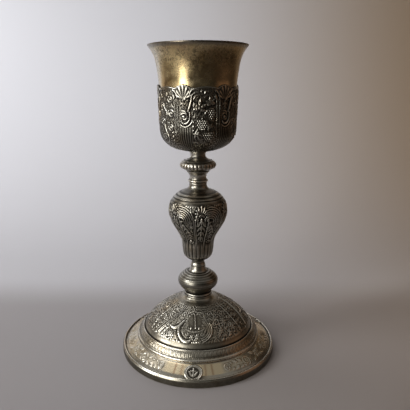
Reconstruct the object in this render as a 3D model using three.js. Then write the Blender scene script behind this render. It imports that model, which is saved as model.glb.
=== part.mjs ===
import * as THREE from 'three';

// Chalice: foot, three stem pieces, calyx in relief and cup, one above the other on the Z axis.
// Sizes in millimetres. Azimuths in degrees from the front (-Y), growing towards +X.

// Clearances
const stackGap = 0.3; // between pieces that stand on one another
const cupFit = 0.3; // between the cup and the calyx round it

// Foot
const footRadius = 71.6;
const footHeight = 51.8;
const footSheet = 1;
const footEdge = 5.6; // upright edge at the bottom
const baseFlange = 3; // width of the flat ring it rests on
const domeRadius = 50.4;
const domeStart = 23; // height of the dome's lower edge
const stepRadius = 55.8; // band between the rim and the dome
const stepFoot = 14.5;
const footCollarRadius = 12.9;
const medallionRadius = 8.2;
const medallionRise = 0.9;
const domeRelief = 1.3;

// Stem
const boreRadius = 4.5; // through all three stem pieces and the top of the foot
const lowerKnopRadius = 18.7;
const lowerKnopHeight = 29.95;
const mainKnopRadius = 25.8;
const mainKnopHeight = 76.95;
const mainKnopRelief = 1;
const upperKnopRadius = 16;
const upperKnopHeight = 27.4;

// Cup and calyx
const calyxSheet = 0.6;
const calyxRelief = 0.9;
const calyxTop = 52.5; // edge between the panels, above the cup's underside
const calyxScallop = 2.8; // rise of the edge at each shell
const cupWall = 1;
const cupHeight = 86.8;
const bowlRadius = 31.7; // at the top of the rounded bottom
const bowlDepth = 19.8;
const bowlFullness = 2.45; // exponent of the rounded bottom, 2 would be an ellipse
const waistRadius = 33.3;
const flareHeight = 30;
const lipRadius = 42.8;

// Levels, each piece standing on the one below
const lowerKnopBase = footHeight + stackGap;
const mainKnopBase = lowerKnopBase + lowerKnopHeight + stackGap;
const upperKnopBase = mainKnopBase + mainKnopHeight + stackGap;
const calyxBase = upperKnopBase + upperKnopHeight + stackGap;
const cupBase = calyxBase + calyxSheet + cupFit;

// Ornament: six panel pairs on the calyx and main knop, three repeats on the foot
const shellAzimuth = -20.5;
const vineAzimuth = 10;
const palmetteAzimuth = 9;
const gadroonAzimuth = -22;
const medallionAzimuth = -3.5;
const cartoucheAzimuth = -4;
const sixth = 60;
const third = 120;
const garlandSpan = 39; // half its length, from the middle between two medallions

const silver = { color: 0x8d877c, roughness: 0.36, metalness: 1 };
const silverGilt = { color: 0xb08a4a, roughness: 0.3, metalness: 1 };

const radians = (degrees) => (degrees * Math.PI) / 180;

// Angle from the nearest repeat of a motif, in degrees
function turnFrom(azimuth, centre, pitch) {
  const turn = (azimuth - centre) / pitch;
  return (turn - Math.round(turn)) * pitch;
}

// Domed spot: 1 in the middle, 0 beyond half-widths a and b
function mound(u, v, a, b) {
  return Math.max(0, 1 - (u / a) ** 2 - (v / b) ** 2) ** 0.6;
}

// Flat-topped spot with steep sides
function plateau(distance, reach, slope) {
  return Math.min(1, Math.max(0, (reach - distance) / slope));
}

// Rounded ridge along a line at the given distance
function ridge(distance, halfWidth) {
  return Math.max(0, 1 - (distance / halfWidth) ** 2);
}

// Outline moved sideways; the outline runs with the metal on its left
function inset(outline, depth, leastRadius = 0) {
  return outline.map(([r, z], i) => {
    const before = outline[Math.max(0, i - 1)];
    const after = outline[Math.min(outline.length - 1, i + 1)];
    const length = Math.hypot(after[0] - before[0], after[1] - before[1]);
    const inward = [-(after[1] - before[1]) / length, (after[0] - before[0]) / length];
    return [r === 0 ? 0 : Math.max(leastRadius, r + inward[0] * depth), z + inward[1] * depth];
  });
}

// Ring of points at every step-th azimuth. A ring on the axis is one point.
function ring(r, z, azimuths, step = 1, lift = () => [0, 0]) {
  if (r === 0) return [[0, 0, z]];
  const points = [];
  for (let i = 0; i < azimuths.length; i += step) {
    const [dr, dz] = lift(azimuths[i]);
    const angle = radians(azimuths[i]);
    points.push([(r + dr) * Math.sin(angle), -(r + dr) * Math.cos(angle), z + dz]);
  }
  return points;
}

// Rings of an outline. The relief is measured along the outline's normal.
function skin(outline, azimuths, step = 1, relief = () => 0) {
  return outline.map(([r, z], i) => {
    const before = outline[Math.max(0, i - 1)];
    const after = outline[Math.min(outline.length - 1, i + 1)];
    const length = Math.hypot(after[0] - before[0], after[1] - before[1]);
    const outward = [(after[1] - before[1]) / length, -(after[0] - before[0]) / length];
    return ring(r, z, azimuths, step, (azimuth) => {
      const height = relief(azimuth, r, z);
      return [outward[0] * height, outward[1] * height];
    });
  });
}

// Closed body through a run of rings; neighbours may differ in count by a factor of two
function body(name, rings, closed, finish) {
  const positions = [];
  const faces = [];
  const starts = rings.map((points) => {
    const start = positions.length / 3;
    points.forEach((p) => positions.push(...p));
    return start;
  });
  const pairs = closed ? rings.length : rings.length - 1;
  for (let i = 0; i < pairs; i += 1) {
    const next = (i + 1) % rings.length;
    const low = { start: starts[i], count: rings[i].length };
    const high = { start: starts[next], count: rings[next].length };
    const at = (level, k) => level.start + (k % level.count);
    for (let k = 0; k < Math.max(low.count, high.count); k += 1) {
      if (low.count === 1) faces.push(low.start, at(high, k + 1), at(high, k));
      else if (high.count === 1) faces.push(at(low, k), at(low, k + 1), high.start);
      else if (low.count === high.count) {
        faces.push(at(low, k), at(low, k + 1), at(high, k + 1));
        faces.push(at(low, k), at(high, k + 1), at(high, k));
      } else if (low.count > high.count) {
        const half = Math.floor(k / 2);
        faces.push(at(low, k), at(low, k + 1), at(high, half + (k % 2)));
        if (k % 2 === 0) faces.push(at(low, k + 1), at(high, half + 1), at(high, half));
      } else {
        const half = Math.floor(k / 2);
        faces.push(at(high, k + 1), at(high, k), at(low, half + (k % 2)));
        if (k % 2 === 0) faces.push(at(high, k + 1), at(low, half), at(low, half + 1));
      }
    }
  }
  const geometry = new THREE.BufferGeometry();
  geometry.setAttribute('position', new THREE.Float32BufferAttribute(positions, 3));
  geometry.setIndex(faces);
  geometry.computeVertexNormals();
  const mesh = new THREE.Mesh(geometry, new THREE.MeshStandardMaterial(finish));
  mesh.name = name;
  return mesh;
}

// Evenly spread azimuths from a starting one
function spread(count, start) {
  return Array.from({ length: count }, (_, i) => start + (i * 360) / count);
}

// Outline from pairs of [share of radius, share of height]
function scaled(shares, radius, height, base) {
  return shares.map(([r, z]) => [r * radius, base + z * height]);
}

// Foot: flat flange, upright edge, sloping rim, step band and dome up to the collar
const rimSlope = (stepFoot - footEdge - 2.6) / (footRadius - 5.1 - stepRadius);
const rimHeight = (r) => stepFoot - (r - stepRadius) * rimSlope;
const domeCrown = footCollarRadius + 2.7;
const domePoint = (share) => [
  // superellipse from the crown, where the share is 0, down to the dome's lower edge
  domeCrown + (domeRadius - 1 - domeCrown) * share,
  domeStart + 1 + (footHeight - domeStart - 3.4) * (1 - share ** 1.2) ** 0.75,
];
const footOutside = [
  [footRadius - baseFlange, 0],
  [footRadius, 0],
  [footRadius + 0.2, footEdge],
  [footRadius - 1, footEdge + 1.3],
  [footRadius - 4.2, rimHeight(footRadius - 4.2)],
  [footRadius - 7.2, rimHeight(footRadius - 7.2)],
  [stepRadius + 3, rimHeight(stepRadius + 3)],
  [stepRadius, stepFoot + 0.6],
  [stepRadius - 0.8, stepFoot + 4.2],
  [domeRadius, domeStart],
  ...[1, 0.95, 0.8, 0.6, 0.4, 0.2, 0].map(domePoint),
  [footCollarRadius, footHeight],
];

// Columns of the foot: close together at each medallion, wider between
const medallionColumns = [-8.6, -7.2, -3.6, 0, 3.6, 7.2, 8.6];
const betweenColumns = Array.from({ length: 13 }, (_, i) => 15.5 + (i * 96) / 13);
const footAzimuths = [];
for (let k = 0; k < 3; k += 1) {
  [...medallionColumns, ...betweenColumns].forEach((offset) => {
    footAzimuths.push(medallionAzimuth + k * third + offset);
  });
}

function footRelief(azimuth, r, z) {
  if (z <= footEdge + 1.4) return 0;
  if (r > stepRadius + 1) {
    // applied medallion, and a garland between the medallions
    const turn = turnFrom(azimuth, medallionAzimuth, third);
    const across = r * Math.sin(radians(turn));
    const along = r * Math.cos(radians(turn)) - (stepRadius + 7);
    const medallion = medallionRise * plateau(Math.hypot(across, along), medallionRadius, 1.2);
    const fromMiddle = Math.abs(turnFrom(azimuth, medallionAzimuth + third / 2, third));
    const lane = mound(r - (stepRadius + 6.2), 0, 4.6, 1) * plateau(fromMiddle, garlandSpan, 6);
    const swell = 0.7 + 0.3 * Math.cos(radians(fromMiddle * 24));
    return Math.max(medallion, 0.7 * lane * swell);
  }
  if (r > domeRadius - 2 || r < 17) return 0;
  // cartouche frames on the dome; between them slanting straps, a husk and two rosettes
  const turn = turnFrom(azimuth, cartoucheAzimuth, third);
  const across = r * Math.sin(radians(turn));
  const along = r - 34;
  const frame = ridge(Math.hypot(across / 14, along / 13.5) - 0.86, 0.24);
  const boss = 0.5 * mound(across, along, 5.5, 6);
  const strapTurn = turnFrom(azimuth, cartoucheAzimuth - 45 + (46 - r) * 0.6, third);
  const strap = 0.7 * ridge(r * Math.sin(radians(strapTurn)), 4);
  const gapTurn = turnFrom(azimuth, cartoucheAzimuth + third / 2, third);
  const husk = 0.8 * mound(r * Math.sin(radians(gapTurn)), r - 34, 4, 11);
  const rosette = 0.9 * mound(r * Math.sin(radians(Math.abs(gapTurn) - 23)), r - 33, 5, 6);
  return domeRelief * Math.min(1, Math.max(frame, boss, strap, husk, rosette));
}

const footInside = inset(footOutside.slice(2), footSheet, boreRadius).reverse();
const footInner = [
  ...footInside.filter((_, i) => ![1, 3, 5, 12].includes(i)),
  [footRadius - footSheet, footSheet],
  [footRadius - baseFlange, footSheet],
];
const foot = body(
  'foot',
  [...skin(footOutside, footAzimuths, 1, footRelief), ...skin(footInner, footAzimuths, 2)],
  true,
  silver,
);

// Stem pieces: bored through, so that they thread onto one another
function stemPiece(name, outline, azimuths, relief) {
  const low = outline[0][1];
  const high = outline[outline.length - 1][1];
  const bore = [ring(boreRadius, high, azimuths, 2), ring(boreRadius, low, azimuths, 2)];
  return body(name, [...skin(outline, azimuths, 1, relief), ...bore], true, silver);
}

// Lower knop: collar, hollow, bun with rings on its shoulder, neck
const lowerKnopOutline = scaled(
  [
    [0.71, 0],
    [0.7, 0.08],
    [0.64, 0.145],
    [0.75, 0.22],
    [0.9, 0.325],
    [0.985, 0.41],
    [1, 0.485],
    [0.97, 0.565],
    [0.88, 0.64],
    [0.72, 0.73],
    [0.56, 0.775],
    [0.41, 0.825],
    [0.365, 0.91],
    [0.36, 1],
  ],
  lowerKnopRadius,
  lowerKnopHeight,
  lowerKnopBase,
);
const lowerKnop = stemPiece('lower_knop', lowerKnopOutline, spread(26, 0), () => 0);

// Upper knop: ring, neck, flattened bun, neck under the calyx
const upperKnopOutline = scaled(
  [
    [0.5, 0],
    [0.56, 0.045],
    [0.48, 0.09],
    [0.47, 0.19],
    [0.52, 0.27],
    [0.66, 0.365],
    [0.87, 0.44],
    [0.99, 0.5],
    [1, 0.57],
    [0.93, 0.64],
    [0.82, 0.7],
    [0.6, 0.76],
    [0.42, 0.83],
    [0.41, 0.9],
    [0.53, 1],
  ],
  upperKnopRadius,
  upperKnopHeight,
  upperKnopBase,
);
const gadroon = (azimuth, r) => (r > 0.95 * upperKnopRadius ? 0.3 * Math.cos(radians(azimuth * 12)) : 0);
const upperKnop = stemPiece('upper_knop', upperKnopOutline, spread(26, 0), gadroon);

// Main knop: pear-shaped body on a fluted bell, with a long neck
const mainKnopOutline = scaled(
  [
    [0.255, 0],
    [0.22, 0.032],
    [0.29, 0.062],
    [0.41, 0.094],
    [0.5, 0.165],
    [0.54, 0.28],
    [0.63, 0.378],
    [0.78, 0.472],
    [0.92, 0.56],
    [0.995, 0.655],
    [0.985, 0.735],
    [0.87, 0.815],
    [0.68, 0.875],
    [0.42, 0.912],
    [0.315, 0.945],
    [0.3, 1],
  ],
  mainKnopRadius,
  mainKnopHeight,
  mainKnopBase,
);

function mainKnopRise(azimuth, r, z) {
  const level = (z - mainKnopBase) / mainKnopHeight;
  if (level < 0.12 || level > 0.82) return 0;
  // palmette, swept gadroons, and a rib at each panel's side
  const shell = turnFrom(azimuth, palmetteAzimuth, sixth);
  const across = r * Math.sin(radians(shell));
  const fan = mound(across, z - mainKnopBase - 50, 7, 8);
  const drop = 0.7 * mound(across, z - mainKnopBase - 34, 3.6, 8);
  const sweep = r * Math.sin(radians(turnFrom(azimuth, gadroonAzimuth, sixth)));
  const swept = 0.8 * mound(sweep, z - mainKnopBase - 47, 9, 11);
  const rosette = 0.7 * mound(sweep, z - mainKnopBase - 27, 4, 7);
  const rib = ridge(turnFrom(azimuth, palmetteAzimuth - 15 - 6 * level, sixth) * 0.4, 2.4);
  return mainKnopRelief * Math.max(fan, drop, swept, rosette, 0.8 * rib);
}
const mainKnop = stemPiece('main_knop', mainKnopOutline, spread(54, palmetteAzimuth), mainKnopRise);

// Bowl outline shared by cup and calyx: rounded bottom, then a slightly tapering wall
const bowlAngles = [0, 24, 46, 68, 90];
function bowlOutline(grow, angles) {
  return angles.map((degrees) => {
    const across = Math.sin(radians(degrees)) ** (2 / bowlFullness);
    const down = degrees === 90 ? 0 : Math.cos(radians(degrees)) ** (2 / bowlFullness);
    return [(bowlRadius + grow) * across, cupBase + bowlDepth - (bowlDepth + grow) * down];
  });
}
const wallRadius = (z) =>
  bowlRadius + ((waistRadius - bowlRadius) * (z - cupBase - bowlDepth)) / (cupHeight - bowlDepth - flareHeight);
const flareBase = cupBase + cupHeight - flareHeight;

// Cup: outside upwards from the axis, over the lip, inside back down to the axis
const flare = [0.4, 0.7, 0.88, 1].map((t) => [
  waistRadius + (lipRadius - waistRadius) * (0.36 * t + 0.64 * t ** 4.2),
  flareBase + flareHeight * t,
]);
const cupOutside = [...bowlOutline(0, bowlAngles), [waistRadius, flareBase], ...flare];
const cupInside = inset(cupOutside, cupWall).reverse();
cupInside[0][1] = cupBase + cupHeight;
const cupAzimuths = spread(36, vineAzimuth);
const cup = body(
  'cup',
  [...skin(cupOutside, cupAzimuths), ...skin(cupInside, cupAzimuths)],
  false,
  silverGilt,
);

// Calyx: sheet round the lower cup, upper edge rising at each shell, panels in relief
function calyxRise(azimuth, r, z) {
  const level = z - cupBase;
  if (level < 2) return 0;
  const shellTurn = turnFrom(azimuth, shellAzimuth, sixth);
  const across = r * Math.sin(radians(shellTurn));
  const shell = mound(across, level - 47, 7.5, 9);
  const eye = 0.9 * mound(across, level - 26, 5.5, 6);
  const frame = level > 18 ? 0.9 * ridge(Math.abs(shellTurn) - 12, 3.4) : 0;
  const flutes = level < 19 && Math.abs(shellTurn) < 13 ? 0.45 : 0;
  const vine = r * Math.sin(radians(turnFrom(azimuth, vineAzimuth, sixth)));
  const leaf = 0.8 * mound(vine, level - 44, 7, 5);
  const upperBunch = mound(vine + 3, level - 34, 4.4, 6);
  const sideBunch = mound(vine - 5, level - 25, 4.4, 6);
  const lowBunch = mound(vine + 2, level - 15, 5, 6);
  return calyxRelief * Math.max(shell, eye, frame, flutes, leaf, upperBunch, sideBunch, lowBunch);
}

const calyxAzimuths = spread(72, vineAzimuth);
const calyxGrow = cupFit + calyxSheet;
const wallLevels = [4.4, 9, 13.6, 18.2, 22.8, 27.4].map((up) => cupBase + bowlDepth + up);
const calyxOutside = [
  ...bowlOutline(calyxGrow, [0, 24, 46, 68, 90]),
  ...wallLevels.map((z) => [wallRadius(z) + calyxGrow, z]),
];
const calyxInside = bowlOutline(cupFit, bowlAngles).reverse();
const edgeRise = (azimuth) =>
  calyxScallop * ridge(turnFrom(azimuth, shellAzimuth, sixth), 15)
  + 0.4 * calyxScallop * ridge(turnFrom(azimuth, vineAzimuth, sixth), 15);
const edgeLevel = cupBase + calyxTop;
const edgeRing = (grow, step) =>
  ring(wallRadius(edgeLevel) + grow, edgeLevel, calyxAzimuths, step, (azimuth) => [0, edgeRise(azimuth)]);
const calyx = body(
  'calyx',
  [
    ...skin(calyxOutside, calyxAzimuths, 1, calyxRise),
    edgeRing(calyxGrow, 1),
    edgeRing(cupFit, 1),
    ...skin(calyxInside, calyxAzimuths, 2),
  ],
  false,
  silver,
);

const group = new THREE.Group();
group.name = 'chalice';
group.add(foot, lowerKnop, mainKnop, upperKnop, calyx, cup);

export default group;
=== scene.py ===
import bpy
import numpy as np
from math import pi, radians, sin, cos
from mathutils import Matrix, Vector


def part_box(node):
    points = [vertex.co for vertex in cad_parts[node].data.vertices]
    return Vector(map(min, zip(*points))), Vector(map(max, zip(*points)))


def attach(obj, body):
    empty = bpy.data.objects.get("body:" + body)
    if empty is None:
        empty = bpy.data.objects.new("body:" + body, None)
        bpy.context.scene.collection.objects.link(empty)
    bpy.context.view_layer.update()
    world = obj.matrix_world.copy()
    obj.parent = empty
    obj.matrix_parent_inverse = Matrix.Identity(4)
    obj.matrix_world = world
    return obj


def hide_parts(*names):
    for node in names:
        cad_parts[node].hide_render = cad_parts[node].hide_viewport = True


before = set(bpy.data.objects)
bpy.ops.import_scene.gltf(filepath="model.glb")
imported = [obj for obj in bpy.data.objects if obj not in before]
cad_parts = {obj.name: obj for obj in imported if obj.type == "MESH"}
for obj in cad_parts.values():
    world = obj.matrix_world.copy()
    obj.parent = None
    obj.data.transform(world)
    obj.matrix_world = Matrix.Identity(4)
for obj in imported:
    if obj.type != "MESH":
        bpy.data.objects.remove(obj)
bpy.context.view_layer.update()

scene = bpy.context.scene

# Lengths below are in millimetres, azimuths in degrees from the front (-Y) towards +X.
mm = 0.001
sixth, third = 60.0, 120.0


# Surfaces turned about the stem

# Lowest and highest corner of a node's box
def boxOf(node):
    return [np.array(corner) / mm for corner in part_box(node)]


# Azimuths of a piece's columns, in even steps of 360 / columns
def azimuthsOf(columns):
    return np.arange(columns)[None, :] * 360 / columns


# Profile through the given (radius, height) points at even steps of arc length, its corners
# softened by averaging each point with its neighbours. Returns arc length s, r, z and normal.
def turnedProfile(points, rows, soften=0):
    points = np.array(points, float)
    lengths = np.r_[0, np.cumsum(np.hypot(*np.diff(points, axis=0).T))]
    s = np.linspace(0, lengths[-1], rows)
    r = np.interp(s, lengths, points[:, 0])
    z = np.interp(s, lengths, points[:, 1])
    for _ in range(soften):
        r[1:-1] = (r[:-2] + 2 * r[1:-1] + r[2:]) / 4
        z[1:-1] = (z[:-2] + 2 * z[1:-1] + z[2:]) / 4
    s = np.r_[0, np.cumsum(np.hypot(np.diff(r), np.diff(z)))]
    dr, dz = np.gradient(r, s), np.gradient(z, s)
    size = np.hypot(dr, dz)
    return {"s": s, "r": r, "z": z, "nr": dz / size, "nz": -dr / size}


# How sharply a profile turns: slope of its normal's angle over arc length
def turningOf(profile):
    return np.gradient(np.unwrap(np.arctan2(profile["nz"], profile["nr"])), profile["s"])


# Points of radius r and height z at each azimuth a: (r sin a, -r cos a, z)
def turnedTo(azimuth, r, z):
    angle = np.radians(azimuth) + 0 * r
    return np.stack([r * np.sin(angle), -r * np.cos(angle), z + 0 * angle], axis=-1)


# Plain rings, one for each (radius, height) point
def hoops(azimuth, points):
    r, z = np.array(points, float).T[:, :, None]
    return turnedTo(azimuth, r, z)


# Rings of a profile moved out along its normal: (r + nr h, z + nz h) turned to each azimuth
def ringsOf(profile, azimuth, lift=0.0, level=None):
    level = profile["s"][:, None] + 0 * azimuth if level is None else level
    r, z, nr, nz = (np.interp(level, profile["s"], profile[key]) for key in ("r", "z", "nr", "nz"))
    return turnedTo(azimuth, r + nr * lift, z + nz * lift)


# Closed body from rings of equal count: quads between neighbours, then either the last ring
# joins the first, or each end closes in a fan on the axis. Marks are values for its first points.
def turnedBody(name, rings, loop, marks):
    rows, columns = rings.shape[:2]
    i = np.arange(rows if loop else rows - 1)[:, None]
    j = np.arange(columns)[None, :]
    upper, beside = (i + 1) % rows, (j + 1) % columns
    quads = np.stack([i * columns + j, i * columns + beside,
                      upper * columns + beside, upper * columns + j], axis=-1).reshape(-1, 4)
    points = rings.reshape(-1, 3)
    fans = np.zeros((0, 3), int)
    if not loop:
        ends = np.array([[0, 0, rings[0, :, 2].mean()], [0, 0, rings[-1, :, 2].mean()]])
        low, high, last = len(points), len(points) + 1, (rows - 1) * columns
        k = np.arange(columns)
        after = (k + 1) % columns
        fans = np.concatenate([np.stack([after, k, np.full(columns, low)], axis=-1),
                               np.stack([last + k, last + after, np.full(columns, high)], axis=-1)])
        points = np.concatenate([points, ends])
    mesh = bpy.data.meshes.new(name)
    mesh.vertices.add(len(points))
    mesh.vertices.foreach_set("co", (points * mm).ravel())
    corners = np.concatenate([quads.ravel(), fans.ravel()])
    starts = np.concatenate([np.arange(len(quads)) * 4, len(quads) * 4 + np.arange(len(fans)) * 3])
    mesh.loops.add(len(corners))
    mesh.loops.foreach_set("vertex_index", corners)
    mesh.polygons.add(len(starts))
    mesh.polygons.foreach_set("loop_start", starts)
    mesh.polygons.foreach_set("use_smooth", np.ones(len(starts), bool))
    for mark, values in marks.items():
        layer = mesh.attributes.new(mark, "FLOAT", "POINT")
        full = np.zeros(len(points))
        full[:values.size] = values.ravel()
        layer.data.foreach_set("value", full)
    mesh.update(calc_edges=True)
    mesh.validate()
    piece = bpy.data.objects.new(name, mesh)
    scene.collection.objects.link(piece)
    return piece


# Marks of the outer rings, followed by one value on the hidden inner ones
def withInside(mark, innerRings, value):
    return np.concatenate([mark, np.full(innerRings.shape[:2], value)])


# Angle from the nearest repeat of a motif
def turnFrom(azimuth, centre, pitch):
    turn = (azimuth - centre) / pitch
    return (turn - np.round(turn)) * pitch


# Chased motifs: heights over a panel with u across and v up, both in millimetres

# Rounded section: sqrt(1 - (x/w)^2)
def rounded(x, w=1.0):
    return np.sqrt(np.clip(1 - (x / w) ** 2, 0, 1))


# Dome: sqrt(1 - (du/a)^2 - (dv/b)^2)
def dome(u, v, x, y, a, b=None):
    b = a if b is None else b
    return np.sqrt(np.clip(1 - ((u - x) / a) ** 2 - ((v - y) / b) ** 2, 0, 1))


# Soft step from 0 to 1 between two values: t^2 (3 - 2t)
def rise(value, low, high):
    t = np.clip((value - low) / (high - low), 0, 1)
    return t * t * (3 - 2 * t)


# Soft step down from 1 to 0
def fall(value, low, high):
    return 1 - rise(value, low, high)


# Soft window: up between the first two values, down between the last two
def window(value, a, b, c, d):
    return rise(value, a, b) * fall(value, c, d)


# Bell curve: exp(-((x - centre)/w)^2)
def hump(x, centre, w):
    return np.exp(-((x - centre) / w) ** 2)


# Motifs laid over one another, the highest showing. A row is a height, a motif and its measures.
def chase(u, v, rows):
    h = np.zeros(u.shape)
    for height, motif, *measures in rows:
        h = np.maximum(h, height * motif(u, v, *measures))
    return h


# Rounded strap along a path: sqrt(1 - (d/w)^2), d the distance to the path and w its half
# width there, tapering from one end's to the other's.
def strap(u, v, path, startWidth, endWidth, swell=0.0):
    path = np.asarray(path, float)
    reach = max(startWidth, endWidth) * (1 + swell) + 0.1
    near = ((u > path[:, 0].min() - reach) & (u < path[:, 0].max() + reach)
            & (v > path[:, 1].min() - reach) & (v < path[:, 1].max() + reach))
    x, y = u[near], v[near]
    best = np.full(x.shape, 9.0)
    for k in range(len(path) - 1):
        (ax, ay), (bx, by) = path[k], path[k + 1]
        along = np.clip(((x - ax) * (bx - ax) + (y - ay) * (by - ay))
                        / ((bx - ax) ** 2 + (by - ay) ** 2 + 1e-9), 0, 1)
        t = (k + along) / (len(path) - 1)
        width = startWidth + (endWidth - startWidth) * t + swell * startWidth * np.sin(pi * t)
        away = np.hypot(x - ax - along * (bx - ax), y - ay - along * (by - ay)) / width
        best = np.minimum(best, away)
    height = np.zeros(u.shape)
    height[near] = rounded(best)
    return height


# Arc or spiral: radius running evenly from one value to another as the angle sweeps
def spiral(x, y, startRadius, endRadius, fromAngle, toAngle, count=20):
    t = np.linspace(0, 1, count)
    angle = np.radians(fromAngle + (toAngle - fromAngle) * t)
    radius = startRadius + (endRadius - startRadius) * t
    return np.stack([x + radius * np.cos(angle), y + radius * np.sin(angle)], axis=-1)


# Cubic curve from a to d, drawn towards b and c:
# (1 - t)^3 a + 3 (1 - t)^2 t b + 3 (1 - t) t^2 c + t^3 d
def sweep(a, b, c, d, count=14):
    t = np.linspace(0, 1, count)[:, None]
    a, b, c, d = (np.array(p, float) for p in (a, b, c, d))
    return (1 - t) ** 3 * a + 3 * (1 - t) ** 2 * t * b + 3 * (1 - t) * t ** 2 * c + t ** 3 * d


# Leaf: half width w sin(pi s^0.7), notched by its lobes, domed, with a mid rib and veins
def leaf(u, v, x, y, length, width, lean, lobes=4, notch=0.25):
    angle = radians(lean)
    along = ((u - x) * sin(angle) + (v - y) * cos(angle)) / length
    across = (u - x) * cos(angle) - (v - y) * sin(angle)
    inside = (along > 0) & (along < 1)
    s = np.clip(along, 1e-4, 1 - 1e-4)
    half = width * np.sin(pi * s ** 0.7) * (1 - notch * np.abs(np.sin(pi * lobes * s)))
    side = np.clip(np.abs(across) / (half + 1e-6), 0, 1)
    form = rounded(side) * (0.75 + 0.25 * np.cos(2 * pi * (lobes * s - 0.9 * side)))
    form += 0.25 * hump(across, 0, 0.14 * width)
    return np.where(inside & (side < 1), form, 0)


# Scallop shell: fan of ribs from a hinge, reaching less at the sides, with a scalloped edge
def scallop(u, v, x, y, reach, sideReach, halfAngle, ribs, lean=0.0):
    du, dv = u - x, v - y
    angle = np.degrees(np.arctan2(du, dv)) - lean
    distance = np.hypot(du, dv)
    share = np.clip(np.abs(angle) / halfAngle, 0, 1)
    rib = np.abs(np.cos(pi * ribs * angle / (2 * halfAngle)))
    edge = (reach + (sideReach - reach) * share ** 1.5) * (0.9 + 0.1 * rib)
    t = np.clip(distance / edge, 0, 1)
    form = (0.35 + 0.65 * t) * (0.35 + 0.65 * rib ** 0.8) * np.sqrt(1 - t ** 8)
    return np.where((np.abs(angle) < halfAngle) & (distance < edge), form, 0)


# Bunch of berries: domes on a hexagonal lattice, kept inside a drop shape
def bunch(u, v, x, y, width, height, berry):
    best = np.zeros(u.shape)
    rowStep = berry * 3 ** 0.5
    for shift in (0.0, 0.5):
        cu = (np.round((u - x) / (2 * berry) - shift) + shift) * 2 * berry
        cv = (np.round((v - y) / (2 * rowStep) - shift) + shift) * 2 * rowStep
        reach = width * (1 + 0.35 * cv / height)
        inside = (cu / reach) ** 2 + (cv / height) ** 2 < 1
        away = np.hypot(u - x - cu, v - y - cv) / (0.78 * berry)
        swell = 0.4 + 0.65 * np.sqrt(np.clip(1 - (cu / reach) ** 2 - (cv / height) ** 2, 0, 1))
        best = np.maximum(best, np.where(inside, rounded(away) * swell, 0))
    return best


# Rosette: domed petals of radius 0.72 + 0.28 cos(petals x angle) round a boss
def rosette(u, v, x, y, radius, petals, eye=0.3):
    du, dv = u - x, v - y
    distance = np.hypot(du, dv) / radius
    petal = 0.72 + 0.28 * np.cos(petals * np.arctan2(dv, du))
    return np.maximum(rounded(distance, petal) * rise(distance, 0.1, 0.6), 0.9 * rounded(distance, eye))


# Row of beads along a path, one every given pitch
def beadRow(u, v, path, pitch, radius):
    lengths = np.r_[0, np.cumsum(np.hypot(*np.diff(path, axis=0).T))]
    stations = np.arange(0, lengths[-1] + 1e-6, pitch)
    places = (np.interp(stations, lengths, path[:, axis]) for axis in (0, 1))
    return chase(u, v, [(1, dome, x, y, radius) for x, y in zip(*places)])


# Upright flutes side by side: |cos| ridges of the given pitch
def fluting(u, pitch):
    return np.abs(np.cos(pi * u / pitch)) ** 0.7


# Uneven ground left by the punch: product of sines at odd angles, -1 to 1
def punched(u, v, pitch):
    k = 2 * pi / pitch
    return (np.sin(k * (u + 0.31 * v) + 1.3 * np.sin(0.37 * k * v)) * np.sin(k * (v - 0.27 * u)
            + 1.1 * np.sin(0.41 * k * u)))


# Even scatter of values from 0 to 1 for whole numbers i and j: fraction of a large sine
def scatter(i, j, salt):
    value = np.sin(i * 12.9898 + j * 78.233 + salt * 37.719) * 43758.5453
    return value - np.floor(value)


# Small foliage that fills a ground: on a hexagonal lattice each cell holds a leaf
# (half width w sin(pi s^0.8)), a curl (|cos| of an even spiral) or a flower
def foliage(u, v, pitch, salt=0.0):
    best = np.zeros(np.broadcast(u, v).shape)
    rowStep = 1.732 * pitch
    for shift in (0.0, 0.5):
        i, j = np.round(u / pitch - shift), np.round(v / rowStep - shift)
        turn = 2 * pi * scatter(i, j, shift + salt)
        kind = scatter(i, j, 3.1 + shift + salt)
        du, dv = u - (i + shift) * pitch, v - (j + shift) * rowStep
        x, y = du * np.cos(turn) + dv * np.sin(turn), dv * np.cos(turn) - du * np.sin(turn)
        s = np.clip(0.5 + y / (1.3 * pitch), 1e-4, 1 - 1e-4)
        half = 0.34 * pitch * np.sin(pi * s ** 0.8) * (1 - 0.3 * np.abs(np.sin(4 * pi * s)))
        side = np.clip(np.abs(x) / (half + 1e-6), 0, 1)
        blade = rounded(side) * (0.72 + 0.28 * np.cos(2 * pi * (3 * s - 0.9 * side)))
        distance = np.hypot(x, y) / (0.6 * pitch)
        curl = np.abs(np.cos(pi * (1.6 * distance - np.arctan2(y, x) / (2 * pi)))) ** 1.5
        curl *= np.sqrt(np.clip(1 - distance ** 4, 0, 1))
        flower = rounded(distance, 0.75 + 0.25 * np.cos(5 * np.arctan2(y, x)))
        flower *= 0.45 + 0.55 * rise(distance, 0.15, 0.5)
        best = np.maximum(best, np.where(kind < 0.5, blade, np.where(kind < 0.82, curl, flower)))
    return best


# Running mean over a span of rows and columns, twice, the columns closing round the stem
def softened(height, rowsAround, columnsAround):
    mean = height.copy()
    for _ in range(2):
        wide = np.concatenate([mean[:, -columnsAround:], mean, mean[:, :columnsAround]], axis=1)
        total = np.cumsum(np.pad(wide, ((0, 0), (1, 0))), axis=1)
        span = 2 * columnsAround + 1
        mean = (total[:, span:] - total[:, :-span]) / span
        tall = np.pad(mean, ((rowsAround, rowsAround), (0, 0)), mode="edge")
        total = np.cumsum(np.pad(tall, ((1, 0), (0, 0))), axis=0)
        span = 2 * rowsAround + 1
        mean = (total[span:] - total[:-span]) / span
    return mean


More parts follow.
